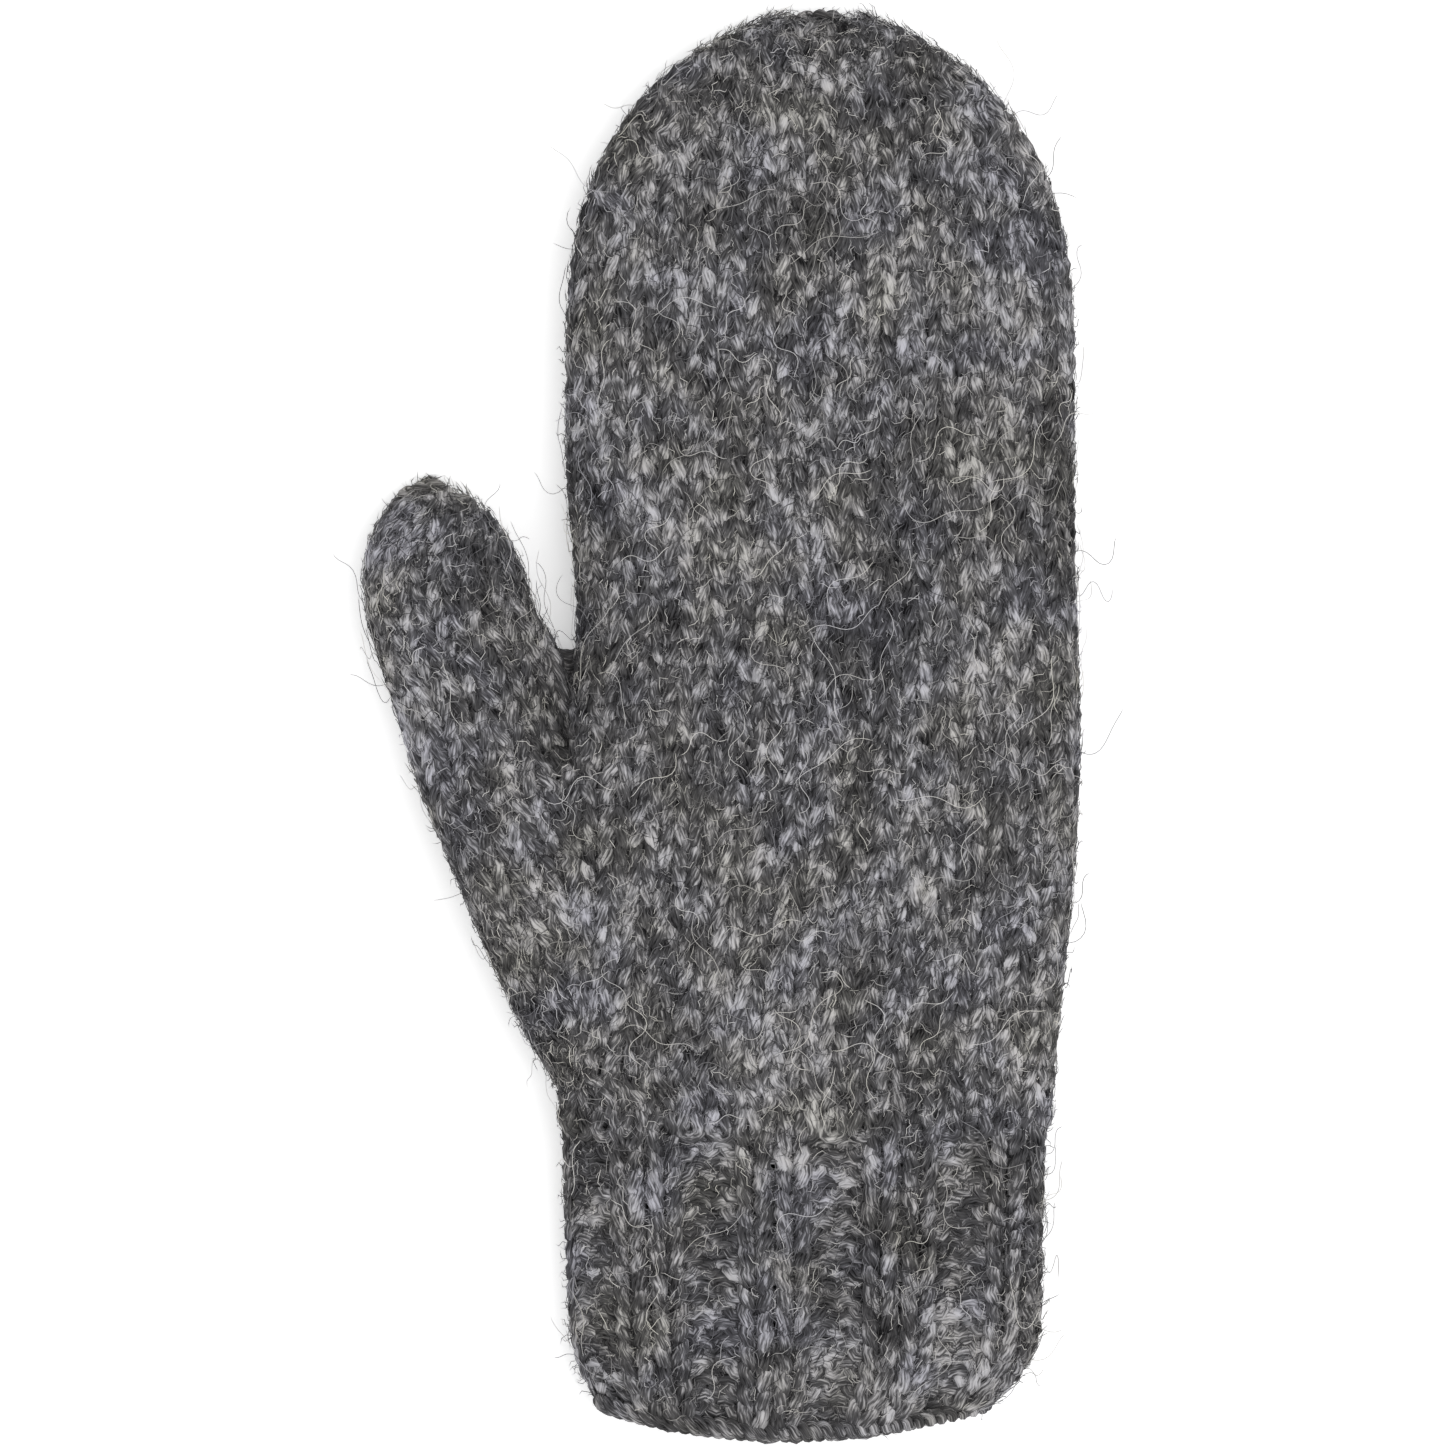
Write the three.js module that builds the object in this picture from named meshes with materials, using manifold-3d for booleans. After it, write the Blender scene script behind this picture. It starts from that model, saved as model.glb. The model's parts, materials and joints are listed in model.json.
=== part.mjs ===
// A hand-knitted wool mitten for the left hand, lying flat with its palm side up.
// Millimetres: X runs across the hand, Y from the cuff to the fingertips, Z up through the thickness.
// The knitted rounds are separate closed shells, stacked along the hand and along the thumb.
import * as THREE from 'three';
import { LoftGeometry } from 'three/addons/geometries/LoftGeometry.js';
import { mergeVertices } from 'three/addons/utils/BufferGeometryUtils.js';
import Module from 'manifold-3d';

// ---------------------------------------------------------------------------
// Driving dimensions
// ---------------------------------------------------------------------------
const gap = 0.3; // clearance between neighbouring pieces
const fabric = 3.2; // thickness of the knitted fabric
const sectionPower = 2.6; // 2 is an ellipse, more is squarer
const underside = 1; // depth by which the resting side is pressed flat

// Heights of the stretches, from the cast-on edge to the fingertip
const castOnHeight = 3.5;
const cuffHeight = 57; // cast-on edge and ribbing together
const wristHeight = 10;
const palmHeight = 81;
const knuckleHeight = 24;
const fingerHeight = 26;
const fingerBendHeight = 20;
const crownHeight = 50;
const gatherHeight = 2.2;

// Widths across the flat mitten
const cuffWidth = 94;
const palmWidth = 98;
const fingerWidth = 97;
const cuffLean = -3.4; // how far the cuff's middle sits from the fingers' middle
const mouthCorner = 12; // radius of the cuff's lower corners
const mouthTuck = 11; // how far the tight cast-on edge draws each side in

// Thickness through both layers and the hand's room between them
const mouthThickness = 16;
const cuffThickness = 20;
const palmThickness = 24;
const fingerThickness = 21;

// Two-by-two ribbing
const ribCount = 9;
const ribDepth = 1.4;

// Thumb and the gusset that widens the hand for it
const thumbLean = 15; // degrees away from the hand
const thumbRootLap = 0.5; // how far the thumb's root reaches over the hand's edge
const thumbRootBelowKnuckles = 15;
const thumbWidth = 33;
const thumbRootWidth = 31;
const thumbThickness = 19;
const thumbRootRounds = 10;
const thumbTubeHeight = 10;
const thumbBendHeight = 12;
const thumbCrownHeight = 15;
const gussetEase = 0.5; // how far the gusset's edge stands out from the thumb's at its root
const increaseLineInset = 4.5; // increase line, in from the hand's left edge
const gussetCurve = 0.85; // under 1 the gusset widens fastest at the wrist
const webInset = 2; // how far the picked-up stitches reach behind the hand's edge
const webNeck = 1.2; // room between the thumb and the hand where they begin
const webHeight = 5.4;
const webShare = 0.45; // of the thumb's thickness

// How the tips close: the power holds the width for longer, the fullness rounds the end
const crownPower = 3;
const crownFullness = 0.6;
const crownFlatness = 0.4; // the same for the thickness
const thumbTipPower = 2;
const thumbTipFullness = 0.65;
const thumbTipFlatness = 0.45;

// Yarn
const yarnWidth = 2.6;
const castOnRounding = 0.7; // how far the cast-on bead's top and bottom are rounded in
const tailWave = 1.2; // sideways wander of a woven-in end
const thumbTailWave = 0.6;
const castOnTailLength = 42;
const crownTailLength = 30;
const thumbJoinTailLength = 36;
const thumbTipTailLength = 9;

// ---------------------------------------------------------------------------
// Levels along the hand and along the thumb
// ---------------------------------------------------------------------------
const wristStart = cuffHeight;
const palmStart = wristStart + wristHeight;
const knuckleStart = palmStart + palmHeight;
const fingerStart = knuckleStart + knuckleHeight;
const narrowingStart = fingerStart + fingerHeight;
const crownStart = narrowingStart + fingerBendHeight;
const crownEnd = crownStart + crownHeight;
const tip = crownEnd + gatherHeight;

const thumbTubeStart = thumbRootRounds;
const thumbBendStart = thumbTubeStart + thumbTubeHeight;
const thumbCrownStart = thumbBendStart + thumbBendHeight;
const thumbCrownEnd = thumbCrownStart + thumbCrownHeight;
const thumbTip = thumbCrownEnd + gatherHeight;

const thumbRootHeight = knuckleStart - thumbRootBelowKnuckles;

// ---------------------------------------------------------------------------
// Materials
// ---------------------------------------------------------------------------
const wool = (red, green, blue) =>
  new THREE.MeshStandardMaterial({ color: new THREE.Color(red, green, blue), roughness: 0.95, metalness: 0 });
const plainKnit = () => wool(0.13, 0.125, 0.13);
const ribKnit = () => wool(0.11, 0.105, 0.11);
const looseYarn = () => wool(0.18, 0.17, 0.175);

// ---------------------------------------------------------------------------
// Outline of the hand: half width, centre and thickness at any height
// ---------------------------------------------------------------------------
// Smooth curve through stations [height, value], level with each neighbour's slope.
function through(stations, height) {
  const last = stations.length - 1;
  const at = THREE.MathUtils.clamp(height, stations[0][0], stations[last][0]);
  const next = Math.max(1, stations.findIndex(([level]) => level >= at));
  const [y0, v0] = stations[next - 1];
  const [y1, v1] = stations[next];
  const slope = (i) => {
    const [ya, va] = stations[Math.max(0, i - 1)];
    const [yb, vb] = stations[Math.min(last, i + 1)];
    return (vb - va) / (yb - ya);
  };
  const span = y1 - y0;
  const t = (at - y0) / span;
  const rise = 3 * t ** 2 - 2 * t ** 3;
  const start = (t ** 3 - 2 * t ** 2 + t) * span * slope(next - 1);
  const end = (t ** 3 - t ** 2) * span * slope(next);
  return v0 + (v1 - v0) * rise + start + end;
}

const palmMiddle = palmStart + palmHeight / 2;
const halfWidths = [
  [0, cuffWidth / 2 - 1.5],
  [wristStart, cuffWidth / 2],
  [palmMiddle, palmWidth / 2],
  [fingerStart, fingerWidth / 2],
  [narrowingStart, fingerWidth / 2],
];
const centres = [
  [0, cuffLean],
  [wristStart, cuffLean],
  [palmMiddle, 0],
  [fingerStart, 0],
];
const thicknesses = [
  [0, mouthThickness],
  [cuffHeight / 2, cuffThickness],
  [wristStart, cuffThickness],
  [palmMiddle, palmThickness],
  [narrowingStart, fingerThickness],
];

// Share of the width left at a height within a closing tip.
const narrowed = (height, start, end, power, fullness) => {
  const share = THREE.MathUtils.clamp((height - start) / (end - start), 0, 1);
  return (1 - share ** power) ** fullness;
};

function handAt(height) {
  const corner = 1 - THREE.MathUtils.clamp(height / mouthCorner, 0, 1);
  const tuck = mouthTuck * (1 - Math.sqrt(1 - corner ** 2));
  const closing = (fullness) => narrowed(height, narrowingStart, tip, crownPower, fullness);
  return {
    centre: through(centres, height),
    halfWidth: (through(halfWidths, height) - tuck) * closing(crownFullness),
    thickness: through(thicknesses, height) * closing(crownFlatness),
  };
}

const handEdgeAt = (height) => handAt(height).centre - handAt(height).halfWidth;

// The thumb's centre line at its root, and how far the gusset widens the hand to meet it.
const thumbRootOut = thumbRootWidth / 2 - thumbRootLap;
const thumbRootAcross = Math.min(handEdgeAt(thumbRootHeight), handEdgeAt(knuckleStart)) - thumbRootOut;
const gussetReach = thumbRootOut + thumbRootWidth / 2 + gussetEase;

// The gusset runs from the wrist to the thumb's root and reaches in to the middle of the hand.
function gussetAt(height) {
  const hand = handAt(height);
  const share = Math.max(0, height - palmStart) / (thumbRootHeight - palmStart);
  const left = hand.centre - hand.halfWidth - gussetReach * share ** gussetCurve;
  return {
    centre: (left + hand.centre) / 2,
    halfWidth: (hand.centre - left) / 2,
    thickness: hand.thickness,
  };
}

function thumbAt(height) {
  const width = through([[0, thumbRootWidth], [thumbBendStart, thumbWidth], [thumbTip, thumbWidth]], height);
  const closing = (fullness) => narrowed(height, thumbBendStart, thumbTip, thumbTipPower, fullness);
  return {
    centre: 0,
    halfWidth: (width / 2) * closing(thumbTipFullness),
    thickness: thumbThickness * closing(thumbTipFlatness),
  };
}

// ---------------------------------------------------------------------------
// Cross-sections: flattened ovals whose underside rests on a plane
// ---------------------------------------------------------------------------
const bent = (value) => Math.sign(value) * Math.abs(value) ** (2 / sectionPower);

class OvalSection extends THREE.Curve {
  constructor({ centre, halfWidth, thickness }, height, inset) {
    super();
    Object.assign(this, { centre, height, inset });
    this.across = Math.max(halfWidth - inset, 0.5);
    this.middle = (thickness - underside) / 2;
    this.up = Math.max((thickness + underside) / 2 - inset, 0.5);
  }

  getPoint(share, target = new THREE.Vector3()) {
    const turn = share * 2 * Math.PI;
    const z = this.middle + this.up * bent(Math.cos(turn));
    return target.set(this.centre + this.across * bent(Math.sin(turn)), this.height, Math.max(z, this.inset));
  }
}

const plainPoints = 28;
const pointsPerRib = 6;

const evenPoints = (section, count) => section.getSpacedPoints(count).slice(0, count);

// A ring with the purl valleys of the ribbing pressed in from the knit ridges.
function ribbedPoints(section) {
  const count = ribCount * pointsPerRib;
  return evenPoints(section, count).map((point, i) => {
    const valley = (1 - Math.cos((i / pointsPerRib) * 2 * Math.PI)) / 2;
    const heart = new THREE.Vector3(section.centre, section.height, section.middle);
    const inward = heart.sub(point).setX(THREE.MathUtils.clamp(heart.x, -4, 4)).normalize();
    return point.addScaledVector(inward, ribDepth * valley);
  });
}

const spread = (from, to, steps) =>
  Array.from({ length: steps + 1 }, (_, i) => from + ((to - from) * i) / steps);

// Levels that crowd together towards a rounded end.
const spreadToTip = (from, to, steps) =>
  spread(0, Math.PI / 2, steps).map((angle) => from + (to - from) * Math.sin(angle));

// ---------------------------------------------------------------------------
// Solids
// ---------------------------------------------------------------------------
const wasm = await Module();
wasm.setup();

function solidOf(geometry) {
  const bare = new THREE.BufferGeometry();
  bare.setAttribute('position', geometry.attributes.position);
  bare.setIndex(geometry.index);
  const merged = mergeVertices(bare, 1e-4);
  return new wasm.Manifold(new wasm.Mesh({
    numProp: 3,
    vertProperties: new Float32Array(merged.attributes.position.array),
    triVerts: new Uint32Array(merged.index.array),
  }));
}

function geometryOf(solid) {
  const { vertProperties, triVerts } = solid.getMesh();
  const geometry = new THREE.BufferGeometry();
  geometry.setAttribute('position', new THREE.BufferAttribute(vertProperties, 3));
  geometry.setIndex(new THREE.BufferAttribute(triVerts, 1));
  geometry.computeVertexNormals();
  return geometry;
}

const sectionsOf = (shapeAt, levels, inset, pointsOf) =>
  levels.map((level) => pointsOf(new OvalSection(shapeAt(level), level, inset)));

function loft(shapeAt, levels, inset = 0, pointsOf = (section) => evenPoints(section, plainPoints)) {
  const sections = sectionsOf(shapeAt, levels, inset, pointsOf);
  return new LoftGeometry(sections, { capStart: true, capEnd: true });
}

// Levels of a cavity run past the ends of the piece that it hollows.
const pastBothEnds = (levels) => [levels[0] - 1, ...levels, levels[levels.length - 1] + 1];

function tube(shapeAt, levels, pointsOf) {
  const outside = solidOf(loft(shapeAt, levels, 0, pointsOf));
  const inside = solidOf(loft(shapeAt, pastBothEnds(levels), fabric, pointsOf));
  return outside.subtract(inside);
}

// A closing tip: its cavity is open below and ends one fabric short of the top.
function cap(shapeAt, from, to, steps) {
  const outside = solidOf(loft(shapeAt, spreadToTip(from, to, steps)));
  const inside = solidOf(loft(shapeAt, [from - 1, ...spreadToTip(from, to - fabric, steps)], fabric));
  return outside.subtract(inside);
}

// Yarn drawn tight through the last stitches: a small dome on the end of a crown.
function gather(radius) {
  const profile = new THREE.SplineCurve([
    new THREE.Vector2(radius, 0),
    new THREE.Vector2(radius * 0.9, gatherHeight * 0.6),
    new THREE.Vector2(0, gatherHeight - gap),
  ]).getPoints(3);
  return new THREE.LatheGeometry([new THREE.Vector2(0, 0), ...profile], 12);
}

// An end of yarn woven along the inside of the fabric, with a slight wave.
function tail(length, wave) {
  const section = new THREE.Shape().absarc(0, 0, yarnWidth / 2, 0, 2 * Math.PI);
  const path = new THREE.CatmullRomCurve3([
    new THREE.Vector3(0, 0, 0),
    new THREE.Vector3(wave, length / 3, 0),
    new THREE.Vector3(-wave, (length * 2) / 3, 0),
    new THREE.Vector3(0, length, 0),
  ]);
  const steps = Math.max(4, Math.round(length / (3 * yarnWidth)));
  return new THREE.ExtrudeGeometry(section, { extrudePath: path, steps, curveSegments: 4 });
}

// ---------------------------------------------------------------------------
// The mitten
// ---------------------------------------------------------------------------
const mitten = new THREE.Group();
const thumb = new THREE.Group();
thumb.position.set(thumbRootAcross, thumbRootHeight, 0);
thumb.rotation.z = THREE.MathUtils.degToRad(thumbLean);
mitten.add(thumb);

function place(parent, name, geometry, material, position = new THREE.Vector3()) {
  const piece = new THREE.Mesh(geometry, material);
  piece.name = name;
  piece.position.copy(position);
  parent.add(piece);
  return piece;
}

// Leaves half the clearance at each end of a stretch.
const within = (from, to, steps) => spread(from + gap / 2, to - gap / 2, steps);

// Cast-on edge: the bead of yarn that starts the cuff, rounded above and below.
function castOnEdge() {
  const levels = spread(0, castOnHeight - gap / 2, 4);
  const bead = (level) => castOnRounding * ((2 * level) / castOnHeight - 1) ** 2;
  const outside = levels.map((level) =>
    evenPoints(new OvalSection(handAt(level), level, bead(level)), plainPoints));
  const inside = loft(handAt, pastBothEnds(levels), fabric);
  return solidOf(new LoftGeometry(outside, { capStart: true, capEnd: true })).subtract(solidOf(inside));
}

const straightRibs = spread(mouthCorner, cuffHeight - gap / 2, 2);
const ribLevels = [castOnHeight + gap / 2, (castOnHeight + mouthCorner) / 2, ...straightRibs];

place(mitten, 'cast_on_edge', geometryOf(castOnEdge()), ribKnit());
place(mitten, 'cuff_ribbing', geometryOf(tube(handAt, ribLevels, ribbedPoints)), ribKnit());
place(mitten, 'wrist_rounds', geometryOf(tube(handAt, within(wristStart, palmStart, 2))), plainKnit());

// Hand and gusset are one hollow body, parted along the line of increases.
const rootPlaneAt = (across) =>
  thumbRootHeight + (across - thumbRootAcross) * Math.tan(THREE.MathUtils.degToRad(thumbLean));
const increaseLine = -palmWidth / 2 + increaseLineInset;
const farLeft = thumbRootAcross - thumbWidth - gussetReach;

// Everything left of a line and below the thumb's root, raised or lowered, as a block.
function blockBelowRoot(right, raised) {
  const outline = new THREE.Shape([
    new THREE.Vector2(farLeft, 0),
    new THREE.Vector2(right, 0),
    new THREE.Vector2(right, rootPlaneAt(right) + raised),
    new THREE.Vector2(farLeft, rootPlaneAt(farLeft) + raised),
  ]);
  const depth = 2 * palmThickness;
  const block = new THREE.ExtrudeGeometry(outline, { depth, bevelEnabled: false });
  return solidOf(block.translate(0, 0, -depth / 4));
}

const palmLevels = within(palmStart, knuckleStart, 6);
const palmOutside = solidOf(loft(handAt, palmLevels));
const palmInside = solidOf(loft(handAt, pastBothEnds(palmLevels), fabric));
const gussetOutside = solidOf(loft(gussetAt, palmLevels)).intersect(blockBelowRoot(palmWidth, 0));
const gussetCavity = solidOf(loft(gussetAt, pastBothEnds(palmLevels), fabric));
const gussetInside = gussetCavity.intersect(blockBelowRoot(palmWidth, fabric / 2));
const palmShell = palmOutside.add(gussetOutside).subtract(palmInside).subtract(gussetInside);

place(mitten, 'hand_tube', geometryOf(palmShell.subtract(blockBelowRoot(increaseLine, gap))), plainKnit());
place(mitten, 'thumb_gusset',
  geometryOf(palmShell.intersect(blockBelowRoot(increaseLine - gap, -gap))), plainKnit());

place(mitten, 'knuckle_rounds', geometryOf(tube(handAt, within(knuckleStart, fingerStart, 3))), plainKnit());
place(mitten, 'finger_tube', geometryOf(tube(handAt, within(fingerStart, narrowingStart, 2))), plainKnit());
place(mitten, 'finger_bend_rounds',
  geometryOf(tube(handAt, within(narrowingStart, crownStart, 4))), plainKnit());
place(mitten, 'crown', geometryOf(cap(handAt, crownStart + gap / 2, crownEnd, 8)), plainKnit());

const crownTop = handAt(crownEnd).thickness / 2;
place(mitten, 'crown_gather', gather(crownTop), looseYarn(), new THREE.Vector3(0, crownEnd + gap, crownTop));

// Thumb, built straight up its own group.
place(thumb, 'thumb_root_rounds', geometryOf(tube(thumbAt, within(0, thumbTubeStart, 2))), plainKnit());
place(thumb, 'thumb_tube',
  geometryOf(tube(thumbAt, within(thumbTubeStart, thumbBendStart, 2))), plainKnit());
place(thumb, 'thumb_bend_rounds',
  geometryOf(tube(thumbAt, within(thumbBendStart, thumbCrownStart, 3))), plainKnit());
place(thumb, 'thumb_crown',
  geometryOf(cap(thumbAt, thumbCrownStart + gap / 2, thumbCrownEnd, 5)), plainKnit());

const thumbTop = thumbAt(thumbCrownEnd).thickness / 2;
place(thumb, 'thumb_gather', gather(thumbTop), looseYarn(),
  new THREE.Vector3(0, thumbCrownEnd + gap, thumbTop));

// Height at which the thumb's edge has come away from the hand's edge by the given room.
function forkHeight(room) {
  const across = new THREE.Vector2(Math.cos(thumb.rotation.z), Math.sin(thumb.rotation.z));
  const along = new THREE.Vector2(-across.y, across.x);
  const root = new THREE.Vector2(thumbRootAcross, thumbRootHeight);
  const edges = spread(0, thumbTip, 400).map((level) =>
    root.clone().addScaledVector(along, level).addScaledVector(across, thumbAt(level).halfWidth));
  return edges.find(({ x, y }) => handEdgeAt(y) - x >= room).y;
}

// Picked-up stitches that close the fork between the thumb and the hand.
function crotchWeb() {
  const bottom = forkHeight(webNeck);
  const top = bottom + webHeight;
  const hand = solidOf(loft(handAt, spread(bottom - thumbTubeStart, top + thumbTubeStart, 4), -gap));
  const thumbSolid = loft(thumbAt, spread(-thumbTubeStart, thumbCrownStart, 6), -gap);
  thumbSolid.rotateZ(thumb.rotation.z).translate(thumb.position.x, thumb.position.y, 0);
  const left = thumbRootAcross;
  const right = handEdgeAt(top) + webInset;
  const block = new THREE.BoxGeometry(right - left, top - bottom, thumbThickness * webShare);
  block.translate((left + right) / 2, (bottom + top) / 2, thumbThickness / 2);
  return solidOf(block).subtract(hand).subtract(solidOf(thumbSolid));
}
place(mitten, 'thumb_crotch_web', geometryOf(crotchWeb()), looseYarn());

// Woven-in yarn ends, lying on the inner face of the back.
const onBack = fabric + gap + yarnWidth / 2;
place(mitten, 'cast_on_tail', tail(castOnTailLength, tailWave), looseYarn(),
  new THREE.Vector3(cuffLean + cuffWidth / 4, castOnHeight + 2, onBack + ribDepth));
place(mitten, 'thumb_join_tail', tail(thumbJoinTailLength, tailWave), looseYarn(),
  new THREE.Vector3(increaseLine + 14, thumbRootHeight - thumbJoinTailLength, onBack));
place(mitten, 'crown_tail', tail(crownTailLength, tailWave), looseYarn(),
  new THREE.Vector3(4, crownStart + 3, onBack));
place(thumb, 'thumb_tip_tail', tail(thumbTipTailLength, thumbTailWave), looseYarn(),
  new THREE.Vector3(0, thumbCrownStart + 1, onBack));

// ---------------------------------------------------------------------------
// Origin: the middle of the resting face
// ---------------------------------------------------------------------------
const group = new THREE.Group();
group.add(mitten);
group.updateMatrixWorld(true);
const extent = new THREE.Box3().setFromObject(mitten, true);
const middle = extent.getCenter(new THREE.Vector3());
mitten.position.set(-middle.x, -middle.y, -extent.min.z);

export default group;
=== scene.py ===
# A hand-knitted wool mitten for the left hand, in charcoal marl yarn, lying flat with its palm side up.
import json
import math

import bpy
import numpy as np
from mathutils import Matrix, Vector


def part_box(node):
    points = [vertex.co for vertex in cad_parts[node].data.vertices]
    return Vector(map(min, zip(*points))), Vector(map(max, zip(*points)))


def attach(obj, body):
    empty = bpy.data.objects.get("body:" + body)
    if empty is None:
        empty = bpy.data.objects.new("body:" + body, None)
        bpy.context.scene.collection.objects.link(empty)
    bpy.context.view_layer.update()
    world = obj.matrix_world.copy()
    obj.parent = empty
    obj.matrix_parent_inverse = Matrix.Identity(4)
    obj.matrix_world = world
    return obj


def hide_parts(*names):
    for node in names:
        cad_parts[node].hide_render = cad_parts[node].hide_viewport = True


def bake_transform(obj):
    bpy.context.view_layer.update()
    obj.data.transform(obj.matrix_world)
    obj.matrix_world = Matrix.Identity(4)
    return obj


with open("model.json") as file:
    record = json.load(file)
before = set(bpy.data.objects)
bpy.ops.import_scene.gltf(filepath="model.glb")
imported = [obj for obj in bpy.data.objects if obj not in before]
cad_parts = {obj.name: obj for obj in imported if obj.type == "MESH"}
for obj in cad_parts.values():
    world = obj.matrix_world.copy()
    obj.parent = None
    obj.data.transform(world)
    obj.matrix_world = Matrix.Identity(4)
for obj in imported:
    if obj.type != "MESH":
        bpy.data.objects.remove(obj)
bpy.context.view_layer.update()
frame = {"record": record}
joints = {joint["name"]: joint for joint in frame["record"]["behaviour"]["joints"]}
random = np.random.default_rng(7)

# ---------------------------------------------------------------------------------------------
# Ribbed cuff. Two-by-two ribbing in charcoal marl wool: pairs of knit columns stand up as ridges
# and pairs of purl columns sink between them. It is worked round and round from the cast-on edge,
# palm side and back in one go, and the plain rounds of the wrist are knitted on to its last round.
# ---------------------------------------------------------------------------------------------
MM = 0.001
STITCH_WIDTH = 5.9 * MM
ROUND_HEIGHT = 3.8 * MM
HALF_ROUND = 18  # stitches on the palm side, and as many on the back
CUFF_HALF_ROUND = 16  # in the ribbing, which is narrower
FABRIC_DEPTH = 2.0 * MM  # middle of the fabric, in from the mitten's outer surface
SQUARENESS = 2.6  # of the mitten's section: 2 is an oval, more is squarer
PRESSED = 1.0 * MM  # how far its own weight flattens the underside
CUFF_INSET = 2 * MM  # how far the ribbing draws the cuff's left side in
WRIST_INSET = 0.5 * MM  # how far it draws in both sides of the wrist
FULL_WIDTH_BELOW = 22 * MM  # the palm reaches its full width this far below the knuckles
MOUTH_CORNER = 22 * MM  # height of the cuff's rounded lower corners
MOUTH_CORNER_POWER = 2.2  # how quickly they round: 1 is a straight slope
MOUTH_TUCK = 10 * MM  # how far they draw in at the left
MOUTH_RIGHT_TUCK = 20 * MM
MOUTH_SAG = 4.5 * MM  # how far the middle of the mouth hangs below its sides
MOUTH_SAG_HEIGHT = 28 * MM
FORK_TUCK = 2.2 * MM  # how far the hand's edge draws in beside the thumb
FORK_TUCK_REACH = 32 * MM  # over this much of the hand, up and down
FORK_TUCK_RISE = 7 * MM  # its middle, above the top of the palm
CROWN_POWER = 3  # how long the crown holds its width before it closes
CROWN_FULLNESS = 0.6  # how round its outline is: 0.5 is an ellipse's end
CROWN_FLATNESS = 0.4  # the same for its thickness

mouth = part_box("cast_on_edge")[0].y
cuff_low, cuff_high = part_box("cuff_ribbing")
wrist_low, wrist_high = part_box("wrist_rounds")
palm_low, palm_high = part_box("hand_tube")
finger_low, finger_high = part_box("finger_tube")
narrowing = finger_high.y
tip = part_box("crown_gather")[1].y

stations = np.array([mouth, wrist_low.y, palm_high.y - FULL_WIDTH_BELOW, finger_low.y, narrowing])
left_edges = np.array([
    cuff_low.x + CUFF_INSET,
    wrist_low.x + WRIST_INSET,
    palm_low.x,
    finger_low.x,
    finger_low.x,
])
right_edges = np.array([
    cuff_high.x,
    wrist_high.x - WRIST_INSET,
    palm_high.x,
    finger_high.x,
    finger_high.x,
])
mouth_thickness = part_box("cast_on_edge")[1].z
thicknesses = np.array([mouth_thickness, wrist_high.z, palm_high.z, finger_high.z, finger_high.z])


def smooth(value, start, end):
    """0 before the start, 1 after the end and an even ease between them."""
    share = np.clip((value - start) / (end - start), 0, 1)
    return share * share * (3 - 2 * share)


def through(values, y):
    """Smooth curve through the values at the stations along the hand."""
    y = np.clip(y, stations[0], stations[-1])
    slopes = np.gradient(values, stations)
    i = np.clip(np.searchsorted(stations, y, side="right") - 1, 0, len(stations) - 2)
    span = stations[i + 1] - stations[i]
    t = (y - stations[i]) / span
    rise = values[i] + (values[i + 1] - values[i]) * (3 * t**2 - 2 * t**3)
    return rise + span * (slopes[i] * (t**3 - 2 * t**2 + t) + slopes[i + 1] * (t**3 - t**2))


def narrowed(level, start, end, power, fullness):
    """Share of the width left at a level of a closing tip."""
    share = np.clip((level - start) / (end - start), 0, 1)
    return (1 - share**power) ** fullness


def hand_outline(y):
    """Left edge, right edge and thickness of the hand at the heights y."""
    rounding = (1 - np.clip((y - mouth) / MOUTH_CORNER, 0, 1)) ** MOUTH_CORNER_POWER
    beside = 1 - smooth(np.abs(y - palm_high.y - FORK_TUCK_RISE), 0, FORK_TUCK_REACH)
    left = through(left_edges, y) + MOUTH_TUCK * rounding + FORK_TUCK * beside
    right = through(right_edges, y) - MOUTH_RIGHT_TUCK * rounding
    half = (right - left) / 2 * narrowed(y, narrowing, tip, CROWN_POWER, CROWN_FULLNESS)
    middle = (left + right) / 2
    thickness = through(thicknesses, y) * narrowed(y, narrowing, tip, CROWN_POWER, CROWN_FLATNESS)
    return middle - half, middle + half, thickness


def bent(value):
    """A sine or cosine pushed out so that an oval becomes as square as the mitten's section."""
    return np.sign(value) * np.abs(value) ** (2 / SQUARENESS)


def layer_height(offset, half, thickness, side):
    """Height of the fabric's middle at an offset from a section's centre.

    Side 1 is the palm and -1 the back.
    """
    across = np.clip(np.abs(offset) / np.maximum(half - FABRIC_DEPTH, MM), 0, 1)
    rise = (1 - across**SQUARENESS) ** (1 / SQUARENESS)
    up = np.maximum((thickness + PRESSED) / 2 - FABRIC_DEPTH, 0.5 * MM)
    return np.maximum((thickness - PRESSED) / 2 + side * up * rise, FABRIC_DEPTH)


def hand_height(x, y, side):
    """Height of the hand's layers where the thumb has left it."""
    left, right, thickness = hand_outline(y)
    return layer_height(x - (left + right) / 2, (right - left) / 2, thickness, side)


def evened(points, count=160):
    """The same line with its points spread evenly along it."""
    steps = np.linalg.norm(np.diff(points, axis=0), axis=1)
    along = np.concatenate([[0], np.cumsum(steps)])
    wanted = np.linspace(0, along[-1], count)
    return np.stack([np.interp(wanted, along, points[:, k]) for k in range(3)], axis=1)


def length_of(points):
    return np.linalg.norm(np.diff(points, axis=0), axis=1).sum()


def unit(vectors):
    return vectors / np.maximum(np.linalg.norm(vectors, axis=-1, keepdims=True), 1e-9)


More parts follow.
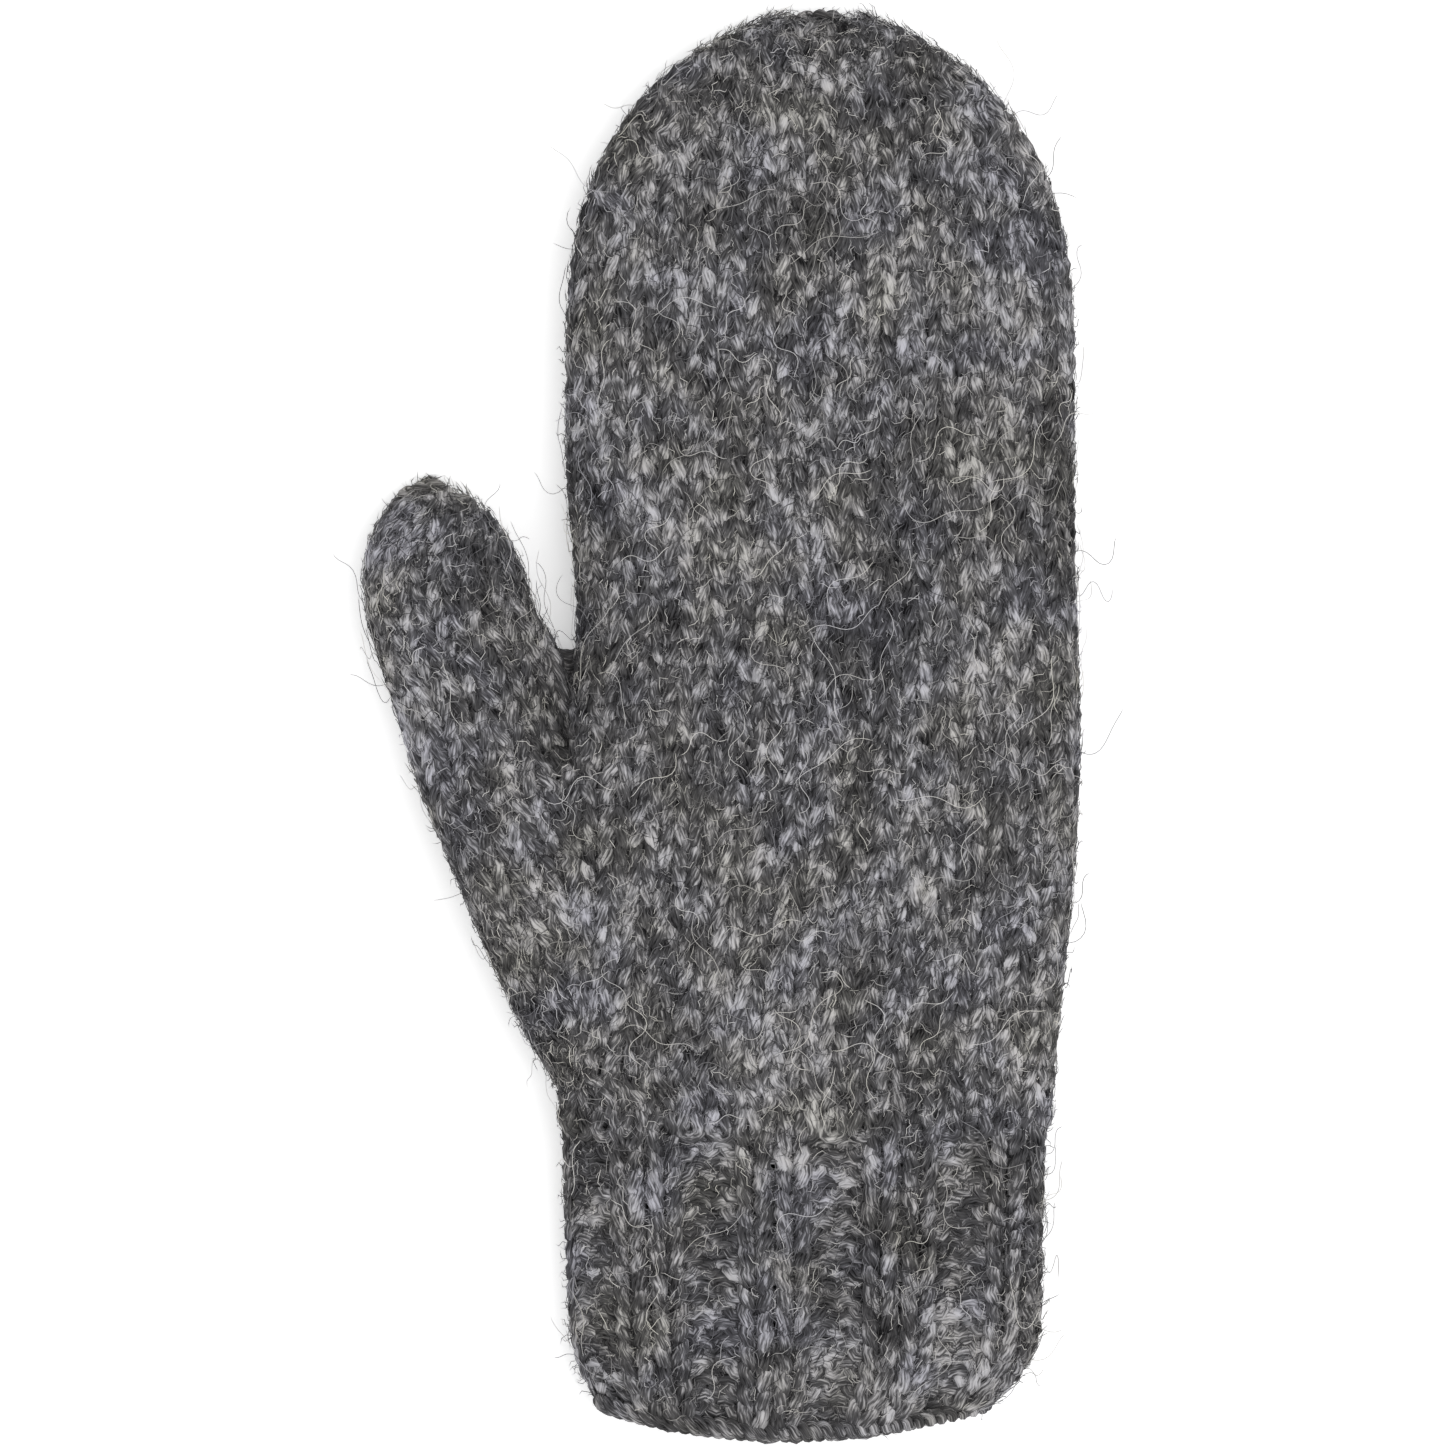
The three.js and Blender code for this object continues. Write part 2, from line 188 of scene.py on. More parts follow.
def crossing(right, left, arch, height_at, side):
    """A round over one side of the mitten, from its right end to its left end, arched in the middle."""
    turn = bent(np.cos(np.linspace(0, np.pi, 240)))[:, None]
    plan = (right + left) / 2 + (right - left) / 2 * turn
    plan[:, 1] += arch * (1 - turn[:, 0] ** 2)
    z = height_at(plan[:, 0], plan[:, 1], side)
    return evened(np.column_stack([plan, z]))


class Strip:
    """Knitted rounds numbered from the cast-on edge: where each lies and where its stitches are.

    The line gives a round's points, and the columns the stitch numbers known on it with their
    shares of its length.
    """

    def __init__(self, line, columns):
        self.line = line
        self.columns = columns
        self.rounds = {}

    def round(self, number):
        if number not in self.rounds:
            points = self.line(number)
            self.rounds[number] = (points, *self.columns(number, length_of(points)))
        return self.rounds[number]

    def ends(self, number):
        """Numbers of the round's first and last stitch."""
        marks = self.round(number)[1]
        return marks[0], marks[-1]

    def place(self, number, stitch):
        """Points on the round's line at the stitches."""
        points, marks, shares = self.round(number)
        share = np.interp(stitch, marks, shares)
        spots = np.linspace(0, 1, len(points))
        return np.stack([np.interp(share, spots, points[:, k]) for k in range(3)], axis=1)

    def setting(self, number, stitch, reach):
        """Points at the stitches, raised by a share of a round, with the step up and the way out."""
        here, above, below = (self.place(number + k, stitch) for k in (0, 1, -1))
        ahead = self.place(number, stitch + 0.3) - self.place(number, stitch - 0.3)
        step = (above - below) / 2
        up, down = np.clip(reach, 0, None)[:, None], np.clip(reach, None, 0)[:, None]
        raised = up * (above - here) + down * (here - below)
        return here + raised, step, unit(np.cross(step, ahead))


RIB_REPEAT = 4  # stitches
RIB_DEPTH = 2.8 * MM
RIB_PULL = 0.14  # how far the purl columns are squeezed together, in stitch widths


def rib_wave(stitch):
    """1 along the knit ridges and -1 along the purl valleys."""
    return np.cos(2 * np.pi * (stitch - 1) / RIB_REPEAT)


def shaped(middle, length, width, edge):
    """Stitches of even width, counted from the middle.

    The one before the edge ones takes up what is left over.
    """
    reach = length / 2
    half = max(1, round(reach / width))
    inner = half - edge - 1
    if inner < 1:
        return np.array([middle - half, middle + half]), np.array([0.0, 1.0])
    marks = np.array([-half, edge - half, -inner, inner, half - edge, half])
    last = reach - edge * width
    spots = np.array([-reach, -last, -inner * width, inner * width, last, reach])
    if edge == 0:
        marks, spots = marks[[0, 2, 3, 5]], spots[[0, 2, 3, 5]]
    return marks + middle, spots / length + 0.5


LOOP_SWAY = 0.21  # how far a loop's legs lean, in stitch widths
LOOP_REACH = 0.86  # half a loop's height, in rounds
LOOP_DEPTH = 0.75 * MM  # how far the legs stand in front of the loop's head
LOOP_STEPS = 16
UNEVENNESS = 0.06  # of hand knitting, in stitch widths
SIZE_UNEVENNESS = 0.1  # of the loops' heights


def stitch_loops(strip, number, ribbed=False):
    """Centre line of the yarn through a round's stitches, with the outward direction at each point."""
    gauge = HALF_ROUND / CUFF_HALF_ROUND if ribbed else 1.0
    first, last = (mark / gauge for mark in strip.ends(number))
    stitch = np.linspace(first, last, int(round((last - first) * LOOP_STEPS)), endpoint=False)
    phase = 2 * np.pi * stitch
    face = np.tanh(4 * rib_wave(stitch)) if ribbed else 1.0
    pull = RIB_PULL * rib_wave(stitch - 1) if ribbed else 0.0
    sunk = RIB_DEPTH * (1 - rib_wave(stitch)) / 2 if ribbed else 0.0
    own = np.floor(stitch)  # each stitch's number, for waves whose lengths never fall in step
    wobble = UNEVENNESS * np.sin(1.7 * number + 2.9 * own + 3.1 * np.sin(0.7 * number + own))
    lean = stitch + pull + LOOP_SWAY * np.sin(2 * phase) + wobble * np.sin(phase / 2) ** 2
    size = 1 + SIZE_UNEVENNESS * np.sin(2.3 * own + 1.3 * number)
    here, _, out = strip.setting(number, lean * gauge, -LOOP_REACH * np.cos(phase) * size)
    depth = -LOOP_DEPTH * face * np.cos(2 * phase) - sunk
    return here + out * depth[:, None], out


YARN_RADIUS = 1.5 * MM
YARN_FLATTENED = 0.78  # its thickness as a share of its width
YARN_SIDES = 8
PLIES = 2
PLY_GROOVE = 0.12  # depth of the groove between the plies, as a share of the radius
PLY_TURN = 7 * MM  # length of yarn in which its plies go round once


def yarn_tube(line, out, closed, radius=YARN_RADIUS):
    """Skin of a plied yarn as rings of points, with the length of yarn up to each ring."""
    around = np.roll(line, -1, axis=0) - np.roll(line, 1, axis=0)
    ahead = unit(around if closed else np.gradient(line, axis=0))
    beside = unit(np.cross(ahead, out))
    over = np.cross(beside, ahead)
    steps = np.linalg.norm(np.diff(line, axis=0), axis=1)
    along = np.concatenate([[0], np.cumsum(steps)])
    turn = np.linspace(0, 2 * np.pi, YARN_SIDES, endpoint=False)
    twist = 2 * np.pi * along[:, None] / PLY_TURN
    bulge = radius * (1 + PLY_GROOVE * np.cos(PLIES * (turn[None] - twist)))
    if not closed:
        from_end = np.minimum(np.arange(len(line)), np.arange(len(line))[::-1])
        bulge = bulge * np.clip(from_end / 3, 0.01, 1)[:, None] ** 0.5
    wide = (bulge * np.cos(turn))[:, :, None] * beside[:, None]
    tall = (bulge * np.sin(turn))[:, :, None] * over[:, None] * YARN_FLATTENED
    return line[:, None] + wide + tall, along, closed


MAP_UNIT = 10 * MM  # length of yarn to one unit of the map that follows it
LARGEST_SKIP = 30 * MM  # of the marl's run from one round to the next


def tubes_mesh(name, tubes, material):
    """One mesh of many tubes, with two maps: one follows each tube, one lays them side by side."""
    points, faces, path, lay = [], [], [], []
    start, spent = 0, 0
    for band, (rings, along, closed) in enumerate(tubes):
        count, sides = rings.shape[:2]
        last = count if closed else count - 1
        i, j = np.meshgrid(np.arange(last), np.arange(sides), indexing="ij")
        i_next, j_next = (i + 1) % count, (j + 1) % sides
        here, beyond = i * sides, i_next * sides
        quads = np.stack([here + j, here + j_next, beyond + j_next, beyond + j], -1)
        faces.append(quads.reshape(-1, 4) + start)
        points.append(rings.reshape(-1, 3))
        run = (spent + np.append(along, 2 * along[-1] - along[-2])) / MAP_UNIT
        spent += along[-1] + random.uniform(0, LARGEST_SKIP)
        ends = [(i, j), (i, j + 1), (i + 1, j + 1), (i + 1, j)]
        followed = [np.stack([run[a], b / sides], -1) for a, b in ends]
        path.append(np.stack(followed, 2).reshape(-1, 2))
        side_by_side = [
            np.stack([a / last, (band + 0.05 + 0.9 * b / sides) / len(tubes)], -1) for a, b in ends
        ]
        lay.append(np.stack(side_by_side, 2).reshape(-1, 2))
        start += count * sides
    maps = {"yarn_path": np.concatenate(path), "OFBake": np.concatenate(lay)}
    return mesh_piece(name, np.concatenate(points), np.concatenate(faces), material, maps)


def mesh_piece(name, points, faces, material, maps):
    """An object of smooth four-sided faces with its material and its named maps."""
    mesh = bpy.data.meshes.new(name)
    mesh.vertices.add(len(points))
    mesh.vertices.foreach_set("co", points.astype(np.float32).ravel())
    mesh.loops.add(faces.size)
    mesh.loops.foreach_set("vertex_index", faces.astype(np.int32).ravel())
    mesh.polygons.add(len(faces))
    mesh.polygons.foreach_set("loop_start", np.arange(0, faces.size, faces.shape[1], dtype=np.int32))
    mesh.polygons.foreach_set("use_smooth", np.ones(len(faces), dtype=bool))
    mesh.update(calc_edges=True)
    for title, values in maps.items():
        mesh.uv_layers.new(name=title).data.foreach_set("uv", values.astype(np.float32).ravel())
    mesh.materials.append(material)
    piece = bpy.data.objects.new(name, mesh)
    bpy.context.scene.collection.objects.link(piece)
    return piece


def add_node(material, kind, links=(), **values):
    """A shader node with its values set and its inputs linked."""
    node = material.node_tree.nodes.new(kind)
    for name, value in values.items():
        if hasattr(node, name):
            setattr(node, name, value)
        else:
            node.inputs[name.replace("_", " ")].default_value = value
    for socket, source in links:
        material.node_tree.links.new(source, node.inputs[socket])
    return node


def colour_steps(material, factor, stops):
    """Colours that change from stop to stop as the factor rises."""
    ramp = add_node(material, "ShaderNodeValToRGB", [("Fac", factor)])
    elements = ramp.color_ramp.elements
    elements.remove(elements[1])
    elements[0].position, elements[0].color = stops[0][0], (*stops[0][1], 1)
    for position, colour in stops[1:]:
        elements.new(position).color = (*colour, 1)
    return ramp.outputs["Color"]


def wool(name):
    """A matt, slightly downy surface that the yarn and fibre materials start from."""
    material = bpy.data.materials.new(name)
    material.use_nodes = True
    shader = material.node_tree.nodes["Principled BSDF"]
    shader.inputs["Roughness"].default_value = 0.95
    shader.inputs["Specular IOR Level"].default_value = 0.1
    shader.inputs["Sheen Weight"].default_value = 0.06
    shader.inputs["Sheen Roughness"].default_value = 0.5
    shader.inputs["Sheen Tint"].default_value = (0.75, 0.75, 0.78, 1)
    return material, shader


BLUE_GREY = (0.95, 0.95, 1.12)
NEUTRAL_GREY = (1.0, 0.99, 1.02)
BROWNISH = (1.05, 1.0, 0.94)
OLIVE = (1.08, 1.04, 0.86)
TINT_STRENGTH = 0.4


def tinted(material, colour):
    """The colour drifting between blue-grey, brown and olive from place to place."""
    place = add_node(material, "ShaderNodeTexCoord").outputs["Object"]
    drift = add_node(material, "ShaderNodeTexNoise", [("Vector", place)], Scale=75.0, Detail=3.0)
    tints = colour_steps(material, drift.outputs["Fac"], [
        (0.34, BLUE_GREY),
        (0.45, NEUTRAL_GREY),
        (0.55, BROWNISH),
        (0.66, OLIVE),
    ])
    mix = add_node(material, "ShaderNodeMix", data_type="RGBA", blend_type="MULTIPLY")
    mix.inputs["Factor"].default_value = TINT_STRENGTH
    material.node_tree.links.new(colour, mix.inputs["A"])
    material.node_tree.links.new(tints, mix.inputs["B"])
    return mix.outputs["Result"]


def noise_along(material, vector, stretch, twist, scale, detail):
    """Noise drawn out along the yarn and twisted round it."""
    mapped = add_node(material, "ShaderNodeMapping", [("Vector", vector)],
                      Rotation=(0, 0, math.radians(twist)), Scale=(*stretch, 1))
    return add_node(material, "ShaderNodeTexNoise", [("Vector", mapped.outputs["Vector"])],
                    Scale=scale, Detail=detail).outputs["Fac"]


def weighted(material, *parts):
    """Sum of the values, each times its weight."""
    total = None
    for value, weight in parts:
        node = add_node(material, "ShaderNodeMath", [(0, value)], operation="MULTIPLY_ADD")
        node.inputs[1].default_value = weight
        node.inputs[2].default_value = 0
        if total is not None:
            material.node_tree.links.new(total, node.inputs[2])
        total = node.outputs[0]
    return total


MARL_STOPS = (0.38, 0.5, 0.6)  # shares of the mixing at which the wool is dark, middling and pale
FIBRE_RELIEF = 0.6 * MM


def marl_yarn(name, dark, middle, light):
    """Plied yarn spun from dark and light wool: short light lengths, streaks and fine fibres."""
    material, shader = wool(name)
    path = add_node(material, "ShaderNodeUVMap", uv_map="yarn_path").outputs["UV"]
    place = add_node(material, "ShaderNodeTexCoord").outputs["Object"]
    lengths = noise_along(material, path, (1, 0.6), 0, 2.4, 1.0)
    plies = noise_along(material, path, (2, 3), 35, 2.0, 2.0)
    fibres = noise_along(material, path, (1.6, 7), 12, 3.0, 3.0)
    patchy = add_node(material, "ShaderNodeTexNoise", [("Vector", place)], Scale=45.0, Detail=2.0)
    patches = patchy.outputs["Fac"]
    share = weighted(material, (lengths, 0.32), (plies, 0.13), (fibres, 0.39), (patches, 0.16))
    tone = colour_steps(material, share, list(zip(MARL_STOPS, (dark, middle, light))))
    links = material.node_tree.links
    links.new(tinted(material, tone), shader.inputs["Base Color"])
    bump = add_node(material, "ShaderNodeBump", [("Height", fibres)], Strength=0.8, Distance=FIBRE_RELIEF)
    links.new(bump.outputs["Normal"], shader.inputs["Normal"])
    return material


EDGE_STITCHES = 2  # kept whole beside the decreases of the crown


def half_round(middle, full_width):
    """Stitch columns of the palm side or of the back, by number of round."""
    def columns(number, length):
        if number > NARROWING_ROUND:
            return shaped(middle, length, full_width, EDGE_STITCHES)
        width = length / HALF_ROUND
        if FIRST_GUSSET_ROUND <= number < FORK_ROUND:
            width = full_width
        kept = min(HALF_ROUND, round(length / width))
        marks = np.array([0, kept - 1, kept])
        shares = np.array([0, (kept - 1) * width / length, 1])
        if middle < HALF_ROUND:
            return marks, shares
        return 2 * HALF_ROUND - marks[::-1], 1 - shares[::-1]
    return columns


NARROWING_ROUND = math.floor((narrowing - mouth) / ROUND_HEIGHT)  # the last at full width
LAST_ROUND = math.floor((tip - mouth) / ROUND_HEIGHT) - 1
increase_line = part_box("thumb_gusset")[1].x
across_thumb = np.array(joints["thumb_bend"]["axis"])[:2]
along_thumb = np.array([-across_thumb[1], across_thumb[0]])
ROOT_TO_SPREAD = 5 * MM  # the thumb turns this far above its root
thumb_root = np.array(joints["thumb_spread"]["pos_m"])[:2] - along_thumb * ROOT_TO_SPREAD
FIRST_GUSSET_ROUND = math.ceil((palm_low.y - mouth) / ROUND_HEIGHT)
FORK_BELOW = 14 * MM  # the hand closes beside the thumb from here below the thumb's root
FORK_ABOVE = 1 * MM  # to here above it
FORK_ROUND = math.ceil((thumb_root[1] + FORK_ABOVE - mouth) / ROUND_HEIGHT)

crown_levels = np.linspace(narrowing, tip, 300)
crown_right = hand_outline(crown_levels)[1]
crown_steps = np.hypot(np.diff(crown_levels), np.diff(crown_right))
crown_run = np.concatenate([[0], np.cumsum(crown_steps)])
CROWN_SIDE = 0.87  # share of the rounded outline that its edge stitches follow to the gathering
LAST_SHARE = 1.05  # a round past the last is asked for when the last one's loops are placed
TIP_INSET = 0.5 * MM  # of the last round's middle from the tip


def hand_ends(number):
    """Right end, left end and arch of a round on the hand."""
    y = mouth + number * ROUND_HEIGHT
    arch = -MOUTH_SAG * (1 - smooth(y, mouth, mouth + MOUTH_SAG_HEIGHT))
    level = y - arch
    if number > NARROWING_ROUND:
        share = min((number - NARROWING_ROUND) / (LAST_ROUND - NARROWING_ROUND), LAST_SHARE)
        level = np.interp(share * CROWN_SIDE * crown_run[-1], crown_run, crown_levels)
        arch = min(y, tip - TIP_INSET) - level
    left, right, _ = hand_outline(level)
    left, right = left + FABRIC_DEPTH, right - FABRIC_DEPTH
    if FIRST_GUSSET_ROUND <= number < FORK_ROUND:
        left = increase_line + (left - increase_line) * beside_thumb(y)
    return np.array([right, level]), np.array([left, level]), arch


def beside_thumb(y):
    """0 where the thumb is still part of the hand and 1 where the hand has closed beside it."""
    return smooth(y, thumb_root[1] - FORK_BELOW, thumb_root[1] + FORK_ABOVE)


GUSSET_CURVE = 0.85  # under 1 it widens fastest at the wrist
THUMB_ROOT_HALF = 15 * MM  # half the thumb's width at its root
gusset_top = thumb_root - across_thumb * THUMB_ROOT_HALF
gusset_reach = hand_outline(gusset_top[1])[0] - gusset_top[0]


def gusset_edge(y):
    """Left edge of the hand where the gusset widens it."""
    share = np.maximum((y - palm_low.y) / (gusset_top[1] - palm_low.y), 0)
    return hand_outline(y)[0] - gusset_reach * share**GUSSET_CURVE


def widened_height(x, y, side):
    """Height of the hand's layers where the gusset widens it."""
    _, right, thickness = hand_outline(y)
    left = gusset_edge(y)
    return layer_height(x - (left + right) / 2, (right - left) / 2, thickness, side)


def palm_height(x, y, side):
    """Height of the hand's layers: widened below the fork, closed beside the thumb above it."""
    share = beside_thumb(y)
    return widened_height(x, y, side) * (1 - share) + hand_height(x, y, side) * share


def hand_line(side):
    """Lines of the rounds over one side; the palm runs right to left and the back left to right."""
    def line(number):
        right, left, arch = hand_ends(number)
        points = crossing(right, left, arch, palm_height, side)
        return points if side > 0 else points[::-1]
    return line


def knitted_side(side, middle):
    """The palm side or the back, with the stitch at its middle."""
    line = hand_line(side)
    return Strip(line, half_round(middle, length_of(line(NARROWING_ROUND)) / HALF_ROUND))


palm_side = knitted_side(1, HALF_ROUND / 2)
back_side = knitted_side(-1, 3 * HALF_ROUND / 2)


def hand_round(number, ribbed=False):
    """The yarn of one round of the hand. Beside the gusset it stops at the lines of increases."""
    palm, palm_out = stitch_loops(palm_side, number, ribbed)
    back, back_out = stitch_loops(back_side, number, ribbed)
    closed = not FIRST_GUSSET_ROUND <= number < FORK_ROUND
    return yarn_tube(np.concatenate([back, palm]), np.concatenate([back_out, palm_out]), closed)


def hand_rounds(low, high):
    """Rounds of the hand whose own level lies between two heights."""
    first = max(1, math.ceil((low - mouth) / ROUND_HEIGHT))
    last = min(LAST_ROUND, math.ceil((high - mouth) / ROUND_HEIGHT) - 1)
    return range(first, last + 1)


NEARLY_BLACK = (0.006, 0.0059, 0.0066)
# The ribbing's grey and pale are painted a little darker than the plain knit's: painted shade of its
# ribs.
RIB_GREY_PAINTED_SHADE = (0.096, 0.095, 0.099)
RIB_PALE_PAINTED_SHADE = (0.54, 0.535, 0.55)
rib_wool_painted_shade = marl_yarn("charcoal marl, ribbing, painted shade", NEARLY_BLACK, RIB_GREY_PAINTED_SHADE, RIB_PALE_PAINTED_SHADE)

cuff_rounds = [hand_round(n, True) for n in hand_rounds(mouth, wrist_low.y)]
cuff_knit = tubes_mesh("cuff_ribbed_rounds", cuff_rounds, rib_wool_painted_shade)
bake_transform(cuff_knit)
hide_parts("cuff_ribbing")

# ---------------------------------------------------------------------------------------------
# Cast-on edge. Two lengths of the yarn twisted round each other along the mouth of the cuff, one
# turn for each stitch that was cast on.
# ---------------------------------------------------------------------------------------------
CAST_ON_LEVEL = 0.42  # of a round above the mouth
CAST_ON_TWIST = 0.9 * MM
CAST_ON_RADIUS = 1.15 * MM


def cast_on_strand(lead):
    lines, outs = [], []
    for strip in (back_side, palm_side):
        first, last = strip.ends(1)
        stitch = np.linspace(first, last, (last - first) * LOOP_STEPS, endpoint=False)
        here, step, out = strip.setting(CAST_ON_LEVEL, stitch, np.zeros(len(stitch)))
        turn = (2 * np.pi * stitch + lead)[:, None]
        lines.append(here + CAST_ON_TWIST * (out * np.cos(turn) + unit(step) * np.sin(turn)))
        outs.append(out)
    return yarn_tube(np.concatenate(lines), np.concatenate(outs), True, CAST_ON_RADIUS)


cast_on = tubes_mesh("cast_on_edge_yarn", [cast_on_strand(0), cast_on_strand(math.pi)], rib_wool_painted_shade)
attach(cast_on, "cuff")
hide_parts("cast_on_edge")

# ---------------------------------------------------------------------------------------------
# Wrist. The first plain knit rounds above the ribbing, in the same charcoal marl wool, which shows
# a little paler than the ribbing, whose copy of the wool is painted a little darker as painted shade
# of its ribs. They are knitted on to the ribbing, and the mitten bends here.
# ---------------------------------------------------------------------------------------------
KNIT_GREY = (0.105, 0.104, 0.108)
KNIT_PALE = (0.56, 0.555, 0.57)
plain_wool = marl_yarn("charcoal marl, plain knit", NEARLY_BLACK, KNIT_GREY, KNIT_PALE)


def plain_stretch(name, low, high):
    """The plain knit rounds between two heights of the hand, as one piece."""
    return tubes_mesh(name, [hand_round(n) for n in hand_rounds(low, high)], plain_wool)


wrist_knit = plain_stretch("wrist_plain_rounds", wrist_low.y, palm_low.y)
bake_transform(wrist_knit)
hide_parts("wrist_rounds")

# ---------------------------------------------------------------------------------------------
# Hand. Plain knit rounds of marl wool over the palm and the back, knitted on to the wrist's. On the
# thumb's side each round stops at the line of increases, where the gusset takes over, until the
# hand closes again beside the thumb.
# ---------------------------------------------------------------------------------------------
knuckle_low, knuckle_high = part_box("knuckle_rounds")
hand_knit = plain_stretch("hand_plain_rounds", palm_low.y, knuckle_low.y)
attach(hand_knit, "hand")
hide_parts("hand_tube")

# ---------------------------------------------------------------------------------------------
# Knuckles. Plain knit rounds of the same wool that bend when the fingers fold over the palm; one
# end is knitted on to the hand's rounds and the other carries the fingers'.
# ---------------------------------------------------------------------------------------------
knuckle_knit = plain_stretch("knuckle_plain_rounds", knuckle_low.y, finger_low.y)
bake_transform(knuckle_knit)
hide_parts("knuckle_rounds")

# ---------------------------------------------------------------------------------------------
# Fingers and crown. Plain knit rounds of the same wool over all four fingers. They bend at the
# fingers' middle joint, and above it stitches are knitted together beside the edges, round after
# round, so that the crown closes to a blunt tip.
# ---------------------------------------------------------------------------------------------
finger_knit = plain_stretch("finger_and_crown_rounds", finger_low.y, tip)
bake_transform(finger_knit)
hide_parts("finger_tube", "finger_bend_rounds", "crown")

# ---------------------------------------------------------------------------------------------
# Gusset. A wedge of plain knit in the same wool, made by increases along the side of the hand. Its
# rounds lean outwards with the thumb, and at the fork they close into the first rounds of the
# thumb's own tube.
# ---------------------------------------------------------------------------------------------
THUMB_HALF = 15.8 * MM  # half the thumb's full width
THUMB_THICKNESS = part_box("thumb_tube")[1].z
THUMB_NARROWING = 26 * MM  # level above its root where the thumb starts to close
THUMB_LENGTH = 48 * MM
THUMB_POWER = 2  # how long its tip holds the width
THUMB_FULLNESS = 0.5  # how round the tip's outline is
THUMB_FLATNESS = 0.45  # the same for its thickness
THUMB_LAP = 3.5 * MM  # how much wider its root is on the hand's side
THUMB_LAP_ENDS = (8 * MM, 22 * MM)  # levels between which that goes
THUMB_DIP = 7 * MM  # how far it sinks under the hand's edge at the crotch
THUMB_DIP_ENDS = (6 * MM, 20 * MM)
THUMB_DIP_START = 0.3  # of the half width, out from the thumb's middle
THUMB_CLOSES = (-16 * MM, -3 * MM)  # levels between which the gusset turns into the thumb's own tube


def thumb_outline(level):
    """Half width and thickness of the thumb at levels above its root."""
    half = THUMB_ROOT_HALF + (THUMB_HALF - THUMB_ROOT_HALF) * smooth(level, 0, THUMB_NARROWING)
    half = half * narrowed(level, THUMB_NARROWING, THUMB_LENGTH, THUMB_POWER, THUMB_FULLNESS)
    flattening = narrowed(level, THUMB_NARROWING, THUMB_LENGTH, THUMB_POWER, THUMB_FLATNESS)
    return half, THUMB_THICKNESS * flattening


def thumb_lap(level):
    return THUMB_LAP * (1 - smooth(level, *THUMB_LAP_ENDS))


def thumb_height(x, y, side):
    """Height of the gusset's layers, turning into those of the thumb's own tube at its root."""
    offset = np.column_stack([x, y]) - thumb_root
    level, aside = offset @ along_thumb, offset @ across_thumb
    half, thickness = thumb_outline(level)
    lap = thumb_lap(level)
    own = layer_height(aside - lap / 2, half + lap / 2, thickness, side)
    dip = THUMB_DIP * smooth(aside / half, THUMB_DIP_START, 1) * (1 - smooth(level, *THUMB_DIP_ENDS))
    own = np.maximum(own - dip * (side > 0), FABRIC_DEPTH)
    share = smooth(level, *THUMB_CLOSES)
    return widened_height(x, y, side) * (1 - share) + own * share


thumb_levels = np.linspace(THUMB_NARROWING, THUMB_LENGTH, 200)
thumb_steps = np.hypot(np.diff(thumb_levels), np.diff(thumb_outline(thumb_levels)[0]))
thumb_edge_run = np.concatenate([[0], np.cumsum(thumb_steps)])


def thumb_level(number):
    """Level of a round above the thumb's root, taken on the thumb's centre line."""
    y = mouth + number * ROUND_HEIGHT
    return (np.array([increase_line, y]) - thumb_root) @ along_thumb


THUMB_TIP_ROOM = 1.5 * MM  # left above the last round's level
THUMB_NARROWING_ROUND = FORK_ROUND
while thumb_level(THUMB_NARROWING_ROUND) < THUMB_NARROWING:
    THUMB_NARROWING_ROUND += 1
THUMB_LAST_ROUND = THUMB_NARROWING_ROUND
while thumb_level(THUMB_LAST_ROUND + 1) < THUMB_LENGTH - THUMB_TIP_ROOM:
    THUMB_LAST_ROUND += 1


def gusset_left(right):
    """Left end of a leaning round of the gusset, found where it meets the gusset's edge."""
    rise = across_thumb[1] / across_thumb[0] * smooth(right[1], palm_low.y, thumb_root[1])
    x = gusset_edge(right[1])
    for _ in range(20):
        y = right[1] - rise * (right[0] - x)
        x = gusset_edge(y)
    return np.array([x + FABRIC_DEPTH, y])


def thumb_line(number):
    """One round of the gusset or thumb: over the palm side to the left edge and back underneath."""
    level, arch = thumb_level(number), 0
    if number > THUMB_NARROWING_ROUND:
        closing_rounds = THUMB_LAST_ROUND - THUMB_NARROWING_ROUND
        share = min((number - THUMB_NARROWING_ROUND) / closing_rounds, LAST_SHARE)
        start = thumb_level(THUMB_NARROWING_ROUND)
        run = start + share * CROWN_SIDE * thumb_edge_run[-1] - THUMB_NARROWING
        edge = np.interp(run, thumb_edge_run, thumb_levels)
        arch, level = min(level, THUMB_LENGTH - MM) - edge, edge
    half = thumb_outline(level)[0]
    middle = thumb_root + along_thumb * level
    own_right = middle + across_thumb * (half + thumb_lap(level) - FABRIC_DEPTH)
    own_left = middle - across_thumb * (half - FABRIC_DEPTH)
    seam = np.array([increase_line, mouth + number * ROUND_HEIGHT])
    right = seam + (own_right - seam) * smooth(level, *THUMB_CLOSES)
    left = gusset_left(right) if level < 0 else own_left
    turn = bent(np.cos(np.linspace(0, np.pi, 160)))[:, None]
    plan = (right + left) / 2 + (right - left) / 2 * turn + along_thumb * arch * (1 - turn**2)
    over, under = (np.column_stack([plan, thumb_height(*plan.T, side)]) for side in (1, -1))
    return evened(np.concatenate([over, under[::-1]]), 200)


def thumb_columns(number, length):
    return shaped(0, length, STITCH_WIDTH, 0)


thumb_side = Strip(thumb_line, thumb_columns)


def thumb_round(number):
    """The yarn of one round of the gusset or thumb. Below the fork it stops at the increases."""
    line, out = stitch_loops(thumb_side, number)
    return yarn_tube(line, out, thumb_level(number) > 0)


THUMB_TUBE_LEVEL = 10 * MM  # above the root: the rounds below it stay with the gusset
thumb_side_numbers = range(FIRST_GUSSET_ROUND, THUMB_LAST_ROUND + 1)
gusset_numbers = [n for n in thumb_side_numbers if thumb_level(n) < THUMB_TUBE_LEVEL]


